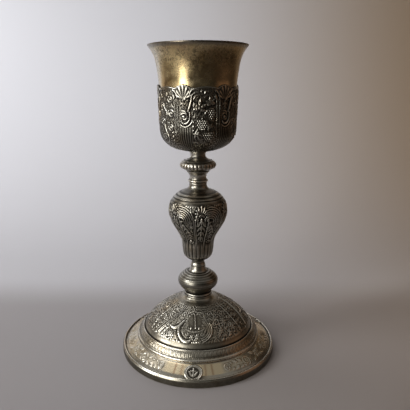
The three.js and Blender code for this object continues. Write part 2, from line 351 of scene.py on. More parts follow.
# How proud a point stands of its surroundings: 0.5 + (height - mean) / scale, 0 deep in a recess
# to 1 on a crest
def standingProud(height, rowsAround, columnsAround, scale):
    return np.clip(0.5 + (height - softened(height, rowsAround, columnsAround)) / scale, 0, 1)


# Foliage laid only where no larger motif stands, with a narrow moat round each
def filledGround(figures, filler, height):
    moat = 1 - np.clip(3.2 * softened(figures, 2, 3), 0, 1)
    return np.maximum(figures, height * filler * moat)


# Materials

# Material with its shader joined to its output, and its node tree
def newMaterial(name):
    material = bpy.data.materials.new(name)
    material.use_nodes = True
    tree = material.node_tree
    tree.nodes.clear()
    output = tree.nodes.new("ShaderNodeOutputMaterial")
    shader = tree.nodes.new("ShaderNodeBsdfPrincipled")
    tree.links.new(shader.outputs["BSDF"], output.inputs["Surface"])
    return material, tree, shader


# Sets a socket to a number or a colour, or joins another node's output to it
def feed(tree, socket, value):
    if isinstance(value, bpy.types.NodeSocket):
        tree.links.new(value, socket)
    else:
        socket.default_value = (*value, 1) if isinstance(value, tuple) else value


# Cloudy noise, about 0.5, finer with a larger scale
def noise(tree, coordinates, scale, detail=3.0, rough=0.55):
    node = tree.nodes.new("ShaderNodeTexNoise")
    for key, value in (("Scale", scale), ("Detail", detail), ("Roughness", rough), ("Vector", coordinates)):
        feed(tree, node.inputs[key], value)
    return node.outputs["Fac"]


# Straight lines between (value, colour or grey) stops
def ramp(tree, value, stops):
    node = tree.nodes.new("ShaderNodeValToRGB")
    while len(node.color_ramp.elements) < len(stops):
        node.color_ramp.elements.new(0.5)
    for element, (place, colour) in zip(node.color_ramp.elements, stops):
        element.position = place
        element.color = (*colour, 1) if isinstance(colour, tuple) else (colour, colour, colour, 1)
    tree.links.new(value, node.inputs["Fac"])
    return node.outputs["Color"]


# One step of arithmetic on two or three values
def maths(tree, operation, *values):
    node = tree.nodes.new("ShaderNodeMath")
    node.operation = operation
    for socket, value in zip(node.inputs, values):
        feed(tree, socket, value)
    return node.outputs[0]


# Mix a (1 - share) + b share, or with MULTIPLY a times that mix of white and b
def blendColours(tree, share, a, b, kind="MIX"):
    node = tree.nodes.new("ShaderNodeMix")
    node.data_type = "RGBA"
    node.blend_type = kind
    for key, value in (("Factor", share), ("A", a), ("B", b)):
        feed(tree, node.inputs[key], value)
    return node.outputs["Result"]


# Value of a mark that the piece's points carry
def markOf(tree, name):
    node = tree.nodes.new("ShaderNodeAttribute")
    node.attribute_name = name
    return node.outputs["Fac"]


# Place on the piece, stretched along each axis
def objectCoordinates(tree, stretch=(1, 1, 1)):
    place = tree.nodes.new("ShaderNodeTexCoord")
    mapping = tree.nodes.new("ShaderNodeMapping")
    mapping.inputs["Scale"].default_value = stretch
    tree.links.new(place.outputs["Object"], mapping.inputs["Vector"])
    return mapping.outputs["Vector"]


# Makes the shader a metal of the given colour and roughness with a fine grain on it
def metal(tree, shader, colour, rough, grain, strength, depth):
    bump = tree.nodes.new("ShaderNodeBump")
    for key, value in (("Strength", strength), ("Distance", depth), ("Height", grain)):
        feed(tree, bump.inputs[key], value)
    for key, value in (("Base Color", colour), ("Roughness", rough), ("Metallic", 1),
                       ("Normal", bump.outputs["Normal"])):
        feed(tree, shader.inputs[key], value)


# Chased silver: bright on the crests, dark sulphide in the recesses, warm stains in patches; the marks also
# lay painted highlights, painted shade and painted warm reflections on some pieces
def chasedSilver(name, look):
    material, tree, shader = newMaterial(name)
    where = objectCoordinates(tree)
    patches = noise(tree, where, look["patchScale"], 4)
    specks = noise(tree, where, look["speckScale"], 5, 0.7)
    shifted = maths(tree, "MULTIPLY_ADD", patches, look["patchDepth"], markOf(tree, "proud"))
    centred = maths(tree, "SUBTRACT", shifted, look["patchDepth"] * 0.5 + look["speckDepth"] * 0.5)
    wear = maths(tree, "MULTIPLY_ADD", specks, look["speckDepth"], centred)
    stain = ramp(tree, noise(tree, where, look["stainScale"], 3), look["stainStops"])
    stained = maths(tree, "MULTIPLY", stain, look["stainDepth"])
    toned = blendColours(tree, stained, ramp(tree, wear, look["stops"]), look["stainColour"], "MULTIPLY")
    toned = blendColours(tree, markOf(tree, "gilt"), toned, look["giltColour"])
    # The copper mark lays painted warm reflections as colour
    toned = blendColours(tree, markOf(tree, "copper"), toned, look["warmReflectionColour"])
    dull = ramp(tree, wear, [(0.2, look["roughRecess"]), (0.62, look["roughCrest"])])
    rough = maths(tree, "MULTIPLY_ADD", noise(tree, where, look["fineScale"], 2), look["fineDepth"], dull)
    metal(tree, shader, toned, rough, noise(tree, where, look["grainScale"], 4), look["bump"], 0.0002)
    return material


# Worn silver-gilt: gold, rubbed to silver in patches, tarnish as specks and streaks, and a painted dark
# reflection round the lip
def wornGilt(name, look):
    material, tree, shader = newMaterial(name)
    where = objectCoordinates(tree)
    upright = objectCoordinates(tree, (1, 1, 0.22))
    rubbed = ramp(tree, noise(tree, upright, look["rubScale"], 4), look["rubStops"])
    base = blendColours(tree, rubbed, look["gold"], look["silver"])
    cloud = ramp(tree, noise(tree, where, look["cloudScale"], 5, 0.65), look["cloudStops"])
    base = blendColours(tree, cloud, base, look["copper"])
    specks = ramp(tree, noise(tree, where, look["speckScale"], 6, 0.75), look["speckStops"])
    axes = tree.nodes.new("ShaderNodeSeparateXYZ")
    tree.links.new(where, axes.inputs[0])
    upper = ramp(tree, axes.outputs["Z"], look["speckLevels"])
    patchy = ramp(tree, noise(tree, where, look["patchScale"], 2), look["patchStops"])
    specks = maths(tree, "MULTIPLY", maths(tree, "MULTIPLY", specks, upper), patchy)
    base = blendColours(tree, specks, base, look["tarnish"])
    # Painted dark reflection: the band round the lip is blended towards the dark grey lip colour
    lipShadeShare = maths(tree, "MULTIPLY", markOf(tree, "paintedLipShade"), look["lipShadeShare"])
    base = blendColours(tree, lipShadeShare, base, look["lip"])
    dull = ramp(tree, noise(tree, where, look["dullScale"], 4),
                [(0.3, look["rough"] - 0.07), (0.7, look["rough"] + 0.1)])
    satin = maths(tree, "MULTIPLY_ADD", upper, look["satin"], dull)
    metal(tree, shader, base, satin, noise(tree, upright, look["grainScale"], 3), look["bump"], 0.0003)
    return material


silverLook = {
    "patchScale": 60, "patchDepth": 0.16,
    "speckScale": 520, "speckDepth": 0.22,
    "stops": [(0.2, (0.012, 0.011, 0.009)), (0.42, (0.085, 0.079, 0.066)),
              (0.6, (0.28, 0.265, 0.225)), (0.85, (0.56, 0.545, 0.49))],
    "stainScale": 34, "stainDepth": 0.6, "stainColour": (0.74, 0.58, 0.38),
    "stainStops": [(0.52, 0.0), (0.68, 1.0)],
    "roughRecess": 0.55, "roughCrest": 0.2, "fineScale": 900, "fineDepth": 0.08,
    "grainScale": 700, "bump": 0.12,
    # Colour of the gilding, and of the painted warm reflections
    "giltColour": (0.74, 0.62, 0.41), "warmReflectionColour": (0.38, 0.23, 0.13),
}
footLook = dict(silverLook, stainDepth=0.7, stainColour=(0.78, 0.62, 0.42), stops=[
    (0.22, (0.035, 0.031, 0.025)), (0.42, (0.17, 0.155, 0.122)),
    (0.58, (0.40, 0.372, 0.31)), (0.8, (0.70, 0.67, 0.59))])
calyxSilver = chasedSilver("calyxSilver", silverLook)
knopSilver = chasedSilver("knopSilver", dict(silverLook, roughCrest=0.27, stops=[
    (0.2, (0.014, 0.012, 0.010)), (0.4, (0.085, 0.078, 0.064)),
    (0.58, (0.24, 0.225, 0.19)), (0.82, (0.53, 0.505, 0.45))]))
mainSilver = chasedSilver("mainSilver", dict(silverLook, roughCrest=0.26, stops=[
    (0.25, (0.010, 0.0095, 0.008)), (0.48, (0.062, 0.058, 0.048)),
    (0.68, (0.2, 0.188, 0.16)), (0.92, (0.5, 0.48, 0.425))]))
lowerSilver = chasedSilver("lowerSilver", dict(silverLook, roughCrest=0.27, stops=[
    (0.24, (0.012, 0.011, 0.009)), (0.46, (0.07, 0.065, 0.053)),
    (0.66, (0.19, 0.178, 0.15)), (0.86, (0.5, 0.48, 0.425))]))
footSilver = chasedSilver("footSilver", footLook)
domeSilver = chasedSilver("domeSilver", dict(footLook, roughCrest=0.2, stops=[
    (0.22, (0.028, 0.025, 0.020)), (0.42, (0.15, 0.137, 0.108)),
    (0.58, (0.38, 0.353, 0.293)), (0.8, (0.70, 0.67, 0.59))]))


# Gives a piece its material, hangs it under the root and hides the node it replaces
def finish(piece, material, node):
    piece.data.materials.append(material)
    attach(piece, "root")
    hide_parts(node)
    print(piece.name, len(piece.data.polygons), "faces")


# Cup

cupLow, cupHigh = boxOf("cup")
cup = {
    "lip": cupHigh[0] - 0.02, "waist": 33.3, "bowl": 31.7, "bowlDepth": 19.8, "fullness": 2.45,
    "flare": 30.0, "wall": 1.0, "columns": 280, "rows": 88,
    "dents": 0.12, "setBack": 0.15,  # how far the beaten sheet strays from true round
    "lipRoll": 0.28, "paintedLipShade": (4.2, 2.2),  # below the lip, where the painted grey reflection starts and is full
}


# Outline of bowl or calyx: superellipse bottom (R sin^(2/n) a, zs - D cos^(2/n) a), then a straight
# wall to the waist. It lies the given distance outside the cup.
def bowlOutline(grow):
    a = np.radians(np.linspace(0.5, 90, 60))
    r = (cup["bowl"] + grow) * np.sin(a) ** (2 / cup["fullness"])
    z = cupLow[2] + cup["bowlDepth"] - (cup["bowlDepth"] + grow) * np.cos(a) ** (2 / cup["fullness"])
    return list(zip(r, z)) + [(cup["waist"] + grow, cupHigh[2] - cup["flare"])]


cupTop = cupHigh[2]
flareShare = np.linspace(0, 1, 30)[1:]
cupOutside = bowlOutline(0) + [
    (cup["waist"] + (cup["lip"] - cup["waist"]) * (0.36 * t + 0.64 * t ** 4.2),
     cupTop - cup["flare"] * (1 - t)) for t in flareShare if t < 0.9]
cupOutside += [(40.35, cupTop - 2.5), (41.0, cupTop - 2.0), (42.6, cupTop - 0.7), (cup["lip"], cupTop - 0.3)]
cupSkin = turnedProfile(cupOutside, cup["rows"], 1)
cupAzimuth = azimuthsOf(cup["columns"])
angle = np.radians(cupAzimuth)
height = cupSkin["z"][:, None]
# dents: three slanting sine waves that fade out at the lip and inside the calyx
wobble = cup["dents"] * (np.sin(3 * angle + height / 21) * 0.5 + np.sin(7 * angle - height / 9) * 0.25
                         + np.sin(13 * angle + height / 5) * 0.12)
fade = rise(cupTop - height, 0, 12) * rise(height, cupTop - 34, cupTop - 26)
outer = ringsOf(cupSkin, cupAzimuth, wobble * fade - cup["setBack"] * fade)
inner = ringsOf(cupSkin, cupAzimuth, -cup["wall"] + wobble * fade - cup["setBack"] * fade)[::-1]
inner[0, :, 2] = outer[-1, :, 2]
outer = outer[:-1]
# lip: a flat half round from the outer wall to the inner one
lipTurn = np.radians(np.linspace(0, 180, 7))[1:-1]
crown = np.stack([outer[-1] + (inner[0] - outer[-1]) * (1 - cos(t)) / 2
                  + np.array([0, 0, cup["lipRoll"]]) * sin(t) for t in lipTurn])
crown[..., 2] = np.minimum(crown[..., 2], cupTop)
cupRings = np.concatenate([outer, crown, inner[1:]])
# Band of painted dark reflection round the lip, inside and out
lipShadeFrom, lipShadeFull = cup["paintedLipShade"]
paintedLipShade = rise(cupRings[..., 2], cupTop - lipShadeFrom, cupTop - lipShadeFull)
cupPiece = turnedBody("cupBeaker", cupRings, False, {"paintedLipShade": paintedLipShade})
giltLook = {
    "rubScale": 22, "rubStops": [(0.36, 0.05), (0.64, 0.75)],
    "gold": (0.60, 0.46, 0.24), "silver": (0.52, 0.49, 0.41),
    "cloudScale": 34, "cloudStops": [(0.5, 0.0), (0.72, 0.5)], "copper": (0.40, 0.23, 0.12),
    "speckScale": 620, "speckStops": [(0.48, 0.0), (0.58, 0.85)], "tarnish": (0.12, 0.10, 0.06),
    "speckLevels": [(0.244, 0.25), (0.262, 1.0)], "patchScale": 30, "patchStops": [(0.42, 0.3), (0.58, 1.0)],
    # lip colour and its share give the painted dark reflection round the lip
    "lip": (0.17, 0.155, 0.13), "lipShadeShare": 0.85, "dullScale": 140, "rough": 0.19, "satin": 0.09,
    "grainScale": 260, "bump": 0.12,
}
finish(cupPiece, wornGilt("wornGilt", giltLook), "cup")


# Calyx

calyx = {
    "fit": 0.3, "sheet": 0.6, "relief": 0.85, "columns": 760, "rows": 120, "foot": 1.5,
    "edge": 32.6, "shellRise": 2.6, "vineRise": 1.0,  # upper edge, above the rounded bottom
    "shellHalf": 11, "vineHalf": 15,  # half width of each rise of the edge, in degrees
    "shellAzimuth": -20.5, "vineAzimuth": 10.0, "panelHalf": 19, "fluteShift": 2.8,
    "fluteFrom": 1.6, "flutePitch": 2.1, "fluteRadius": 34.4, "fill": 0.5,
    "fluteHalf": (10.2, 11.0), "shellEnd": (11.0, 12.0),  # degrees over which flutes and shell fade
    "edgeRoll": (0.42, 0.62), "edgeLine": (0.35, 0.4, 1.9),  # height, half width, and level under the edge
    "reliefFrom": (3, 8),  # arc length over which the relief rises above the foot of the calyx
}
calyxProfile = turnedProfile(bowlOutline(calyx["fit"] + calyx["sheet"]), 240)
wallStart = float(np.interp(cupLow[2] + cup["bowlDepth"], calyxProfile["z"], calyxProfile["s"]))
calyxAzimuth = azimuthsOf(calyx["columns"])
shellTurn = turnFrom(calyxAzimuth, calyx["shellAzimuth"], sixth)
vineTurn = turnFrom(calyxAzimuth, calyx["vineAzimuth"], 2 * sixth)
scrollTurn = turnFrom(calyxAzimuth, calyx["vineAzimuth"] + sixth, 2 * sixth)
besideShell = turnFrom(calyxAzimuth, calyx["vineAzimuth"] + 1, sixth)
edgeLevel = (calyx["edge"]
             + calyx["shellRise"] * np.clip(1 - (shellTurn / calyx["shellHalf"]) ** 2, 0, 1)
             * (0.88 + 0.12 * np.abs(np.cos(np.radians(shellTurn * 45))))
             + calyx["vineRise"] * np.clip(1 - (besideShell / calyx["vineHalf"]) ** 2, 0, 1))
rowShare = np.linspace(0, 1, calyx["rows"])[:, None] ** 0.86
calyxReach = wallStart + edgeLevel - calyx["foot"]
calyxLevel = calyx["foot"] + calyxReach * rowShare
v = calyxLevel - wallStart
radiusThere = np.interp(calyxLevel, calyxProfile["s"], calyxProfile["r"])


# Shell panel: scallop over a husk, a blade that runs into a J-shaped scroll round a volute, and
# hood arcs over the panel on its right
def shellPanel(u, v):
    hook = np.concatenate([sweep((5.3, 13.6), (5.9, 9.4), (4.9, 6.0), (2.0, 4.7), 10),
                           sweep((2.0, 4.7), (0.4, 4.2), (-0.8, 4.8), (-1.9, 6.7), 8)])
    left = np.concatenate([sweep((-9.4, 30.4), (-7.0, 30.0), (-5.2, 27.0), (-4.9, 22.5), 10),
                           sweep((-4.9, 22.5), (-4.6, 18), (-5.2, 13), (-4.7, 2.6), 10)])
    rows = [(1, scallop, 0, 23.6, 11.0, 6.6, 76, 7), (0.9, scallop, 0, 25.4, 3.2, 3.2, 100, 5, 180),
            (0.85, leaf, 0, 23.0, -6.6, 1.3, 0, 3), (1, dome, 0.1, 16.4, 0.6),
            (1, strap, sweep((7.0, 27.0), (7.3, 22.0), (5.6, 19.0), (4.0, 14.2)), 0.5, 0.7, 1.1),
            (1, strap, hook, 0.72, 0.5),
            (0.85, strap, sweep((-1.1, 14.7), (0.8, 14.9), (2.1, 14.0), (2.6, 12.2)), 0.45, 0.4),
            (0.7, strap, spiral(0.6, 9.9, 3.2, 1.0, 150, -250, 26), 0.38, 0.34), (0.9, dome, 0.6, 9.9, 0.8),
            (0.85, strap, sweep((-2.4, 3.6), (-0.2, 1.4), (4.8, 1.0), (7.3, 7.0)), 0.45, 0.4),
            (0.8, strap, left, 0.55, 0.28), (0.8, leaf, -9.2, 27.4, -5.6, 1.0, -22, 2),
            (0.55, strap, sweep((-6.4, 24), (-5.8, 18), (-6.4, 10), (-6.0, 2)), 0.28, 0.28)]
    for side in (-1, 1):
        rows += [(0.75, leaf, 0, 21.0, 3.4, 0.9, side * 126, 2),
                 (0.7, leaf, side * 0.4, 18.6, 2.6, 0.6, side * 150, 1)]
    for k, (startAt, crest, endAt) in enumerate((((5.5, 26.2), (7.6, 31.8), (12.6, 31.6)),
                                                 ((7.0, 23.4), (8.6, 29.2), (12.8, 29.0)),
                                                 ((8.7, 23.2), (9.8, 26.8), (13.6, 26.9)))):
        hood = sweep(startAt, (startAt[0] + 0.3, crest[1] - 1.4), crest, endAt)
        rows.append((0.9 - 0.1 * k, strap, hood, 0.5, 0.34))
    return chase(u, v, rows)


# Vine leaf: five leaves spread from one stalk
def vineLeaf(u, v, x, y, size, lean):
    return chase(u, v, [(1, leaf, x, y, size * reach, size * 0.3, lean + turnBy, 3, 0.35) for turnBy, reach
                        in ((-104, 0.66), (-52, 0.86), (0, 1.0), (52, 0.86), (104, 0.66))])


# Line that closes each panel on its right
borderLine = (0.75, strap, sweep((9.2, 24), (10.2, 16), (9.4, 6), (9.9, -6)), 0.4, 0.26)


# Vine panel: broad leaves, a bright leaf tip, tendrils and three bunches of grapes
def vinePanel(u, v):
    h = chase(u, v, [
        (0.9, vineLeaf, -4.6, 16.6, 8.2, 6), (0.85, vineLeaf, 4.6, 20.6, 5.6, -14),
        (0.75, vineLeaf, -6.4, -3.2, 5.0, 160), (0.75, vineLeaf, 4.4, 1.8, 3.6, -30),
        (1, leaf, -0.2, 12.6, 4.6, 1.1, 38, 2), (1, leaf, -0.6, 27.6, 3.4, 0.7, 20, 1, 0),
        (0.95, leaf, 7.6, 26.4, -3.4, 0.6, -28, 1, 0)])
    for x, y, width, height in ((5.4, 11.8, 3.1, 5.4), (-2.2, 3.6, 4.2, 4.6), (3.4, -6.0, 4.4, 4.4)):
        clear = 1 - dome(u, v, x, y, width + 1.2, height + 1.2)
        h = np.maximum(h * clear, 1.05 * bunch(u, v, x, y, width, height, 0.88))
    stems = [sweep((-8.6, 10.0), (-4.0, 12.5), (-1.0, 11.0), (-2.6, 8.2)),
             sweep((-2.0, 10.4), (1.0, 14.0), (3.4, 17.6), (5.2, 16.4)),
             sweep((0.6, 6.4), (3.4, 5.4), (2.0, 1.0), (3.0, -1.2)),
             sweep((-0.6, 25.4), (1.6, 27.4), (4.8, 27.6), (5.6, 24.6)),
             sweep((-5.4, 0.6), (-7.6, -1.4), (-8.8, -5.0), (-7.0, -8.6))]
    rows = [(0.7, strap, path, 0.36, 0.28) for path in stems]
    rows += [(1, dome, -9.3, y, size, size * 1.15) for y, size in ((5.9, 0.75), (2.4, 0.85), (-0.7, 0.7))]
    rows += [(1, leaf, -9.2, 16.8, 4.6, 0.6, 0, 1, 0), borderLine,
             (0.9, strap, spiral(-7.4, -12.6, 2.4, 2.0, 25, 165, 12), 0.45, 0.3)]
    return np.maximum(h, chase(u, v, rows))


# Scroll panel, which alternates with the vine: roundels on a winding stem with leaves and buds
def scrollPanel(u, v):
    stem = np.concatenate([sweep((-2.0, -12.0), (8.0, -6.0), (-8.6, 0.0), (-1.0, 8.0), 16),
                           sweep((-1.0, 8.0), (6.0, 15.0), (-9.0, 16.0), (-1.0, 24.0), 16)])
    rows = [(0.75, strap, stem, 0.55, 0.35), (1, leaf, 1.4, 25.4, 3.8, 0.8, 8, 1, 0),
            (1, leaf, 3.2, 5.8, -3.8, 0.7, 12, 1, 0), (0.9, leaf, -4.8, 24.6, 4.6, 1.1, -34, 3), borderLine]
    for x, y, size, turnBy in ((5.4, 12.8, 3.0, 150), (5.0, 23.4, 2.4, 120), (-5.6, 18.6, 2.6, -30),
                               (-5.4, 5.6, 2.8, 20), (4.6, 1.2, 2.6, 160), (-4.0, -6.4, 2.4, 30)):
        rows += [(0.85, strap, spiral(x, y, size, size * 0.8, turnBy, turnBy + 320, 22), 0.42, 0.34),
                 (0.95, rosette, x, y, size * 0.5, 5, 0.45),
                 (0.75, leaf, x - 0.4 * size, y - size, 3.6, 0.8, 200 + turnBy, 2)]
    rows += [(1, dome, 6.6, y, size, size * 1.15) for y, size in ((-3.0, 0.7), (-6.2, 0.85), (-9.2, 0.7))]
    return chase(u, v, rows)


shellAcross, vineAcross, scrollAcross = (np.radians(turn) * radiusThere
                                         for turn in (shellTurn, vineTurn, scrollTurn))
nearest = np.where(np.abs(vineTurn) < sixth / 2, vineAcross, scrollAcross)
figures = shellPanel(shellAcross, v)
for panel, turn, across in ((vinePanel, vineTurn, vineAcross), (scrollPanel, scrollTurn, scrollAcross)):
    figures = np.maximum(figures, np.where(np.abs(turn) < calyx["panelHalf"], panel(across, v), 0))
# flutes under the shell, their upper end a shallow parabola
fluteTop = calyx["fluteFrom"] + 0.06 * (shellAcross - 2.2) ** 2
fluteTurn = shellTurn - calyx["fluteShift"]
inFlutes = fall(v, fluteTop - 0.9, fluteTop) * fall(np.abs(fluteTurn), *calyx["fluteHalf"])
flutes = fluting(np.radians(fluteTurn) * calyx["fluteRadius"], calyx["flutePitch"])
grooves = inFlutes * (0.05 + 0.4 * flutes)
sides = rise(np.abs(shellTurn - 1), *calyx["shellEnd"])
filler = foliage(nearest, v, 2.9) * sides + (1 - sides) * (1 - inFlutes) * foliage(shellAcross, v, 2.4, 0.7)
underEdge = edgeLevel - v
figures = filledGround(figures * (1 - inFlutes), filler * rise(underEdge, 1.3, 1.9), calyx["fill"])
rollHeight, rollHalf = calyx["edgeRoll"]
lineHeight, lineHalf, lineLevel = calyx["edgeLine"]
edgeRoll = rollHeight * rounded(underEdge - rollHalf, rollHalf)
lineUnder = lineHeight * rounded(underEdge - lineLevel, lineHalf)
calyxHeight = np.maximum.reduce([calyx["relief"] * figures, grooves, edgeRoll, lineUnder])
calyxHeight *= rise(calyxLevel, *calyx["reliefFrom"])
calyxMark = standingProud(calyxHeight, 3, 5, 0.85) - 0.12 * inFlutes
calyxOuter = ringsOf(calyxProfile, calyxAzimuth, calyxHeight, calyxLevel)
innerLevel = calyx["foot"] + calyxReach * np.linspace(1, 0, 9)[:, None]
calyxInner = ringsOf(calyxProfile, calyxAzimuth, -calyx["sheet"] + 0.05, innerLevel)
calyxPiece = turnedBody("calyxShell", np.concatenate([calyxOuter, calyxInner]), False,
                        {"proud": withInside(calyxMark, calyxInner, 0.4)})
finish(calyxPiece, calyxSilver, "calyx")


# Stem

stem = {"bore": 4.5, "neck": (7.6, 10.5)}  # radii between which the painted highlight on the narrow necks fades


# Piece of the stem turned from its outline round a straight bore. Its mark is brighter on turned
# edges, darker in turned grooves, carries a painted highlight on the narrow necks, and follows the relief.
def stemPiece(name, node, points, rows, columns, relief=None):
    low, high = boxOf(node)
    outline = [(r, low[2] + up) for r, up in points]
    outline[-1] = (outline[-1][0], high[2])
    profile = turnedProfile(outline, rows, 1)
    azimuth = azimuthsOf(columns)
    height = relief(azimuth, profile, low[2]) if relief else np.zeros((rows, columns))
    outer = ringsOf(profile, azimuth, height)
    inner = hoops(azimuth, [(stem["bore"], high[2]), (stem["bore"], low[2])])
    turning = turningOf(profile)
    turnedMark = 0.62 + 0.3 * np.clip(turning, 0, 0.7) - 0.8 * np.clip(-turning - 0.3, 0, 0.6)
    turnedMark = turnedMark + 0.14 * fall(profile["r"], *stem["neck"])  # painted highlight on the narrow necks
    mark = np.clip(turnedMark[:, None] + (standingProud(height, 3, 4, 0.5) - 0.5), 0, 1)
    return turnedBody(name, np.concatenate([outer, inner]), True, {"proud": withInside(mark, inner, 0.3)})


# Upper knop: (radius, height above its base)
upperKnop = [
    (7.7, 0), (8.8, 0.5), (9.0, 1.2), (8.7, 2.0), (7.7, 2.4), (7.4, 3.4), (7.5, 5.2), (8.2, 7.2),
    (9.4, 8.8), (10.1, 9.3), (10.4, 9.9), (10.3, 10.5), (11.7, 11.2), (13.8, 12.2), (15.3, 13.2),
    (15.9, 14.4), (16.0, 15.4), (15.7, 16.6), (14.9, 17.8), (13.7, 18.7), (13.4, 19.3), (12.6, 19.5),
    (12.0, 19.2), (10.8, 19.9), (8.6, 21.0), (7.3, 22.0), (6.6, 23.4), (6.7, 25.0), (7.4, 26.4), (8.4, 27.4)]


gadroons = {"levels": (12.2, 13.2, 16.6, 17.6), "waves": 14, "relief": 0.45}


# Band of small gadroons round the widest part: |sin(waves x azimuth)|^0.6, two to a wave
def upperRelief(azimuth, profile, low):
    band = window(profile["z"][:, None] - low, *gadroons["levels"])
    ridges = np.abs(np.sin(np.radians(azimuth * gadroons["waves"]))) ** 0.6
    return band * gadroons["relief"] * (ridges - 0.75)


upperPiece = stemPiece("upperKnop", "upper_knop", upperKnop, 120, 280, upperRelief)
finish(upperPiece, knopSilver, "upper_knop")

# Lower knop and main knop, in the same way
lowerKnop = [
    (12.7, 0), (13.2, 0.3), (13.2, 1.2), (12.7, 1.7), (12.9, 2.2), (12.8, 3.0), (12.0, 3.8), (12.1, 4.8),
    (13.9, 6.6), (16.5, 9.4), (18.1, 11.8), (18.6, 14.2), (18.5, 15.8), (17.9, 17.6), (17.3, 18.3),
    (17.1, 18.9), (16.3, 19.5), (15.3, 20.3), (15.0, 20.9), (14.2, 21.2), (13.4, 21.9), (13.1, 22.5),
    (12.2, 22.6), (11.2, 23.0), (10.8, 23.6), (9.2, 23.5), (8.4, 24.0), (7.6, 25.2), (7.1, 27.0),
    (6.8, 28.6), (6.6, 29.0), (6.9, 29.5), (6.8, 29.95)]
lowerPiece = stemPiece("lowerKnop", "lower_knop", lowerKnop, 116, 224)
finish(lowerPiece, lowerSilver, "lower_knop")

mainKnop = [
    (6.7, 0), (6.7, 0.5), (6.2, 1.0), (5.7, 2.3), (6.2, 4.0), (8.0, 5.2), (10.4, 6.6), (11.9, 8.6),
    (13.0, 12.0), (13.5, 16.0), (13.9, 21.0), (14.6, 25.4), (16.4, 29.6), (19.0, 34.0), (21.8, 38.4),
    (24.2, 43.4), (25.5, 48.2), (25.8, 52.4), (25.4, 56.8), (24.3, 60.4), (22.6, 63.2), (21.9, 63.9),
    (21.3, 64.9), (20.4, 65.4), (19.6, 66.4), (18.7, 66.8), (17.8, 67.8), (16.9, 68.2), (15.8, 69.0),
    (14.7, 69.1), (12.6, 70.0), (10.4, 70.9), (8.9, 72.0), (8.1, 73.4), (7.8, 75.0), (8.0, 75.6),
    (8.1, 76.3), (7.8, 76.95)]
mainLook = {
    "palmette": 7.3, "swept": -25.0, "rib": -6.4, "farRib": 27.5,  # azimuths, the last from the rib
    "palmetteHalf": 13.5, "sweptHalf": 17.5, "petalPitch": 15, "petalShift": 7.5,
    "ribStart": (10, 13), "ribEnd": (57, 59), "farRibEnd": (54, 58), "panelStart": (21.5, 26),  # levels
    "relief": 0.85, "fill": 0.5, "top": 61.6, "grooves": (64.0, 66.4, 68.8),
}


# Swept panel: nested arcs over a flower and a hanging spray that ends in a bright bead
def sweptPanel(u, v):
    rows = [(0.9, leaf, -6.2, 45.4, 4.4, 1.1, 70, 2), (1, rosette, 4.4, 41.4, 2.3, 7, 0.36),
            (0.8, strap, spiral(-4.6, 40.6, 1.7, 0.5, 150, 500, 20), 0.38, 0.32),
            (0.6, strap, sweep((-4.8, 46.0), (-3.6, 40.0), (1.8, 38.0), (0.8, 28.6)), 0.36, 0.3),
            (1.3, dome, 0.6, 26.4, 1.15, 1.25),
            (0.7, strap, spiral(0.6, 26.4, 2.2, 2.2, 190, 350, 12), 0.36, 0.36)]
    for k in range(6):
        radius = 3.0 + 1.75 * k
        arc = spiral(-4.4, 47.2, radius, radius * 1.05, 172 - 9 * k, -24 + 8 * k, 22)
        rows.append((1 - 0.05 * k, strap, arc, 0.28, 0.28, 1.1))
    for x, y, reach in ((-3.2, 43.4, 4.6), (-1.4, 40.4, 4.6), (0.2, 37.2, 4.4), (0.9, 33.8, 3.8),
                        (0.9, 30.8, 3.2)):
        rows += [(0.85, leaf, x, y, -reach, 0.24 * reach, -34 * side, 2, 0.12) for side in (-1, 1)]
    return chase(u, v, rows)


# Palmette panel: seven fingers over a shell with a curl on each side, and husks below that hang one
# from the next between pairs of leaves
def palmettePanel(u, v):
    rows = [(0.7, scallop, 0.2, 51.4, 2.8, 2.8, 95, 5)]
    for angle, reach in ((-66, 5.4), (-43, 6.6), (-21, 7.6), (1, 8.0), (23, 7.4), (45, 6.4), (68, 5.2)):
        a = radians(angle)
        finger = [(q * sin(a), 52.2 + q * cos(a)) for q in (3.0, 0.6 * reach + 1.0, reach)]
        rows.append((1, strap, finger, 0.34, 0.72))
    for side in (-1, 1):
        curl = spiral(side * 6.0, 50.2, 2.0, 0.6, 90 + side * 30, 90 + side * 390, 20)
        beads = sweep((side * 3.4, 50.2), (side * 2.9, 48.0), (side * 3.0, 45), (side * 3.8, 42.4))
        rows += [(0.8, strap, curl, 0.42, 0.34), (1, beadRow, beads, 1.45, 0.55)]
        rows += [(0.75, leaf, side * 0.7, y, -reach, 0.2 * reach, -side * lean, 2, 0.12)
                 for y, reach, lean in ((47.6, 6.0, 22), (42.2, 5.8, 30), (36.8, 5.2, 26), (31.8, 4.4, 18))]
    rows += [(0.9, leaf, 0, y, -reach, 0.2 * reach, 0, 3, 0.15)
             for y, reach in ((50.4, 7.2), (43.8, 7.0), (37.4, 6.6), (31.4, 5.6))]
    return chase(u, v, rows)


